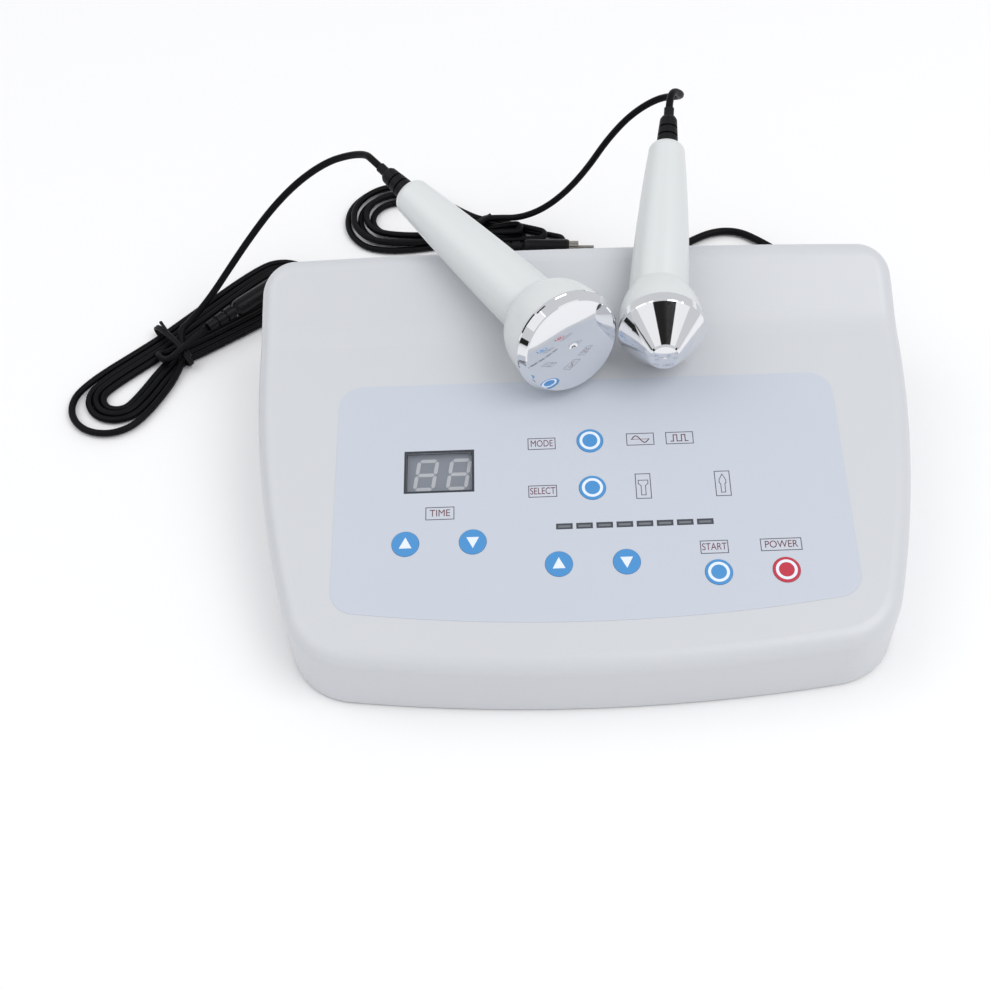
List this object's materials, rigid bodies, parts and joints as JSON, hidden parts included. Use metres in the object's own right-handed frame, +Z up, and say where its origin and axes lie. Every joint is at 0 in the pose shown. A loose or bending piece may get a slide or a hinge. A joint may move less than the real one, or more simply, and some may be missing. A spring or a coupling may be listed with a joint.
{
  "type": "ultrasound therapy device",
  "caption": "Wedge-shaped table console with a membrane panel and two corded hand applicators with metal heads lying on its rear slope.",
  "frame": {"origin": "on the table under the middle of the console and its two applicators", "axes": "+X to the right of someone facing the panel, +Y to the back, +Z up"},
  "size_m": [0.359, 0.3065, 0.1088],
  "materials": {
    "housing_plastic": "fine texture",
    "overlay_film": "satin polyester film",
    "grey_window": "smoked window",
    "lamp_plastic": "dark diffusing window",
    "blue_key": "satin film dome",
    "red_key": "satin film dome",
    "handle_plastic": "smooth moulding",
    "chrome_plate": "mirror polished",
    "ceramic": "sintered ceramic",
    "black_rubber": "matte rubber",
    "cord_pvc": "satin jacket",
    "steel": "zinc plated",
    "nickel": "nickel plated",
    "black_plastic": "moulded",
    "green_board": "solder mask",
    "iron_core": "varnished laminations",
    "copper_winding": "taped copper winding",
    "aluminium_fins": "extruded",
    "ferrite": "wound ferrite",
    "capacitor_sleeve": "sleeved can",
    "ribbon_grey": "ribbon",
    "glass_tube": "glass tube and caps"
  },
  "bodies": {
    "console": {"bar_lamps": "lamp_plastic", "base_plate": "housing_plastic", "board_screws": "steel", "buzzer": "black_plastic", "capacitors": "capacitor_sleeve", "control_board": "green_board", "display_lens": "grey_window", "display_module": "black_plastic", "fuse": "glass_tube", "fuse_holder": "black_plastic", "hank_ties": "black_plastic", "heat_sink": "aluminium_fins", "housing_screws": "steel", "lamp_windows": "lamp_plastic", "mains_bush": "black_rubber", "mains_coil": "cord_pvc", "mains_cord": "cord_pvc", "mains_plug_body": "black_rubber", "mains_plug_pins": "nickel", "output_coils": "ferrite", "panel_overlay": "overlay_film", "plug_contacts": "nickel", "power_circuit_board": "green_board", "power_transistors": "black_plastic", "probe_sockets": "nickel", "rear_nuts": "steel", "ribbon_cable": "ribbon_grey", "rubber_feet": "black_rubber", "tact_switches": "black_plastic", "transformer_core": "iron_core", "transformer_winding": "copper_winding", "upper_housing": "housing_plastic", "large_hank": "cord_pvc", "small_hank": "cord_pvc", "large_plug_body": "black_rubber", "small_plug_body": "black_rubber"},
    "large_applicator": {"large_backing_ring": "black_plastic", "large_boot": "black_rubber", "large_chrome_head": "chrome_plate", "large_collar": "handle_plastic", "large_cord": "cord_pvc", "large_crystal": "ceramic", "large_handle": "handle_plastic"},
    "small_applicator": {"small_backing_ring": "black_plastic", "small_boot": "black_rubber", "small_chrome_head": "chrome_plate", "small_collar": "handle_plastic", "small_cord": "cord_pvc", "small_crystal": "ceramic", "small_handle": "handle_plastic"},
    "intensity_down_key": {"intensity_down_key": "blue_key"},
    "intensity_up_key": {"intensity_up_key": "blue_key"},
    "mode_key": {"mode_key": "blue_key"},
    "power_key": {"power_key": "red_key"},
    "select_key": {"select_key": "blue_key"},
    "start_key": {"start_key": "blue_key"},
    "time_down_key": {"time_down_key": "blue_key"},
    "time_up_key": {"time_up_key": "blue_key"},
    "fuse_cap": {"fuse_cap": "black_plastic"}
  },
  "joints": [
    {"name": "intensity_down_key_press", "type": "slide", "parent": "console", "child": "intensity_down_key", "axis": [0, 0.1736, -0.9848], "range_m": [0, 0.0004], "stiffness_N_per_m": 5000, "springref_m": -0.0001},
    {"name": "intensity_up_key_press", "type": "slide", "parent": "console", "child": "intensity_up_key", "axis": [0, 0.1736, -0.9848], "range_m": [0, 0.0004], "stiffness_N_per_m": 5000, "springref_m": -0.0001},
    {"name": "mode_key_press", "type": "slide", "parent": "console", "child": "mode_key", "axis": [0, 0.1736, -0.9848], "range_m": [0, 0.0004], "stiffness_N_per_m": 5000, "springref_m": -0.0001},
    {"name": "power_key_press", "type": "slide", "parent": "console", "child": "power_key", "axis": [0, 0.1736, -0.9848], "range_m": [0, 0.0004], "stiffness_N_per_m": 5000, "springref_m": -0.0001},
    {"name": "select_key_press", "type": "slide", "parent": "console", "child": "select_key", "axis": [0, 0.1736, -0.9848], "range_m": [0, 0.0004], "stiffness_N_per_m": 5000, "springref_m": -0.0001},
    {"name": "start_key_press", "type": "slide", "parent": "console", "child": "start_key", "axis": [0, 0.1736, -0.9848], "range_m": [0, 0.0004], "stiffness_N_per_m": 5000, "springref_m": -0.0001},
    {"name": "time_down_key_press", "type": "slide", "parent": "console", "child": "time_down_key", "axis": [0, 0.1736, -0.9848], "range_m": [0, 0.0004], "stiffness_N_per_m": 5000, "springref_m": -0.0001},
    {"name": "time_up_key_press", "type": "slide", "parent": "console", "child": "time_up_key", "axis": [0, 0.1736, -0.9848], "range_m": [0, 0.0004], "stiffness_N_per_m": 5000, "springref_m": -0.0001},
    {"name": "large_applicator_lift", "type": "slide", "parent": "console", "child": "large_applicator", "axis": [0, 0, 1], "range_m": [0, 0.08]},
    {"name": "small_applicator_lift", "type": "slide", "parent": "console", "child": "small_applicator", "axis": [0, 0, 1], "range_m": [0, 0.08]},
    {"name": "fuse_cap_pull", "type": "slide", "parent": "console", "child": "fuse_cap", "axis": [0, 1, 0], "range_m": [0, 0.012]}
  ]
}
